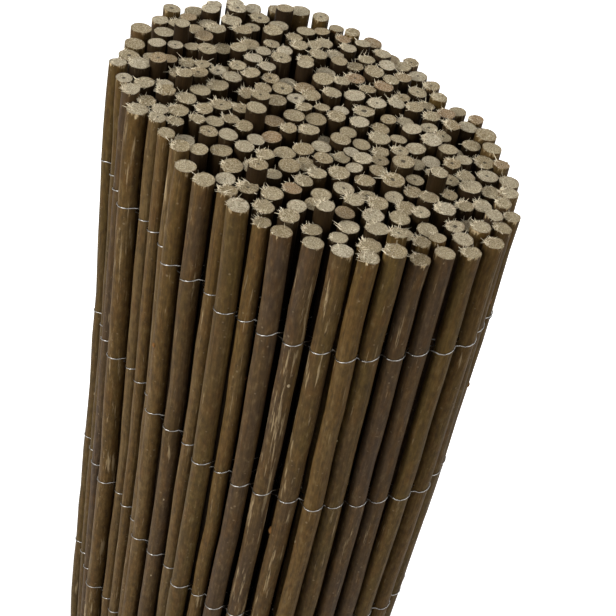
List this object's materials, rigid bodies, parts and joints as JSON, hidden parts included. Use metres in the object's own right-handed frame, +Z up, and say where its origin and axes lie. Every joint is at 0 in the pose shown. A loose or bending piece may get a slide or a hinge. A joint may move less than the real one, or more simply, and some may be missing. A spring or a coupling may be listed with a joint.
{
  "type": "willow screening mat",
  "caption": "Rolled-up garden screening mat of straight willow rods bound side by side by rows of thin galvanised wire, standing on its end as an oval roll.",
  "frame": {"origin": "on the floor under the middle of the roll", "axes": "+Z up along the rods, +X along the long axis of the oval roll"},
  "size_m": [0.233, 0.165, 1.0087],
  "materials": {
    "willow_rod": "dried brown willow bark with a soft sheen, pale cut ends",
    "binding_wire": "thin galvanised wire"
  },
  "bodies": {
    "root": {"rod_mat": "willow_rod", "binding_wire_01": "binding_wire", "binding_wire_02": "binding_wire", "binding_wire_03": "binding_wire", "binding_wire_04": "binding_wire", "binding_wire_05": "binding_wire", "binding_wire_06": "binding_wire", "binding_wire_07": "binding_wire", "binding_wire_08": "binding_wire", "binding_wire_09": "binding_wire", "binding_wire_10": "binding_wire"}
  },
  "joints": []
}
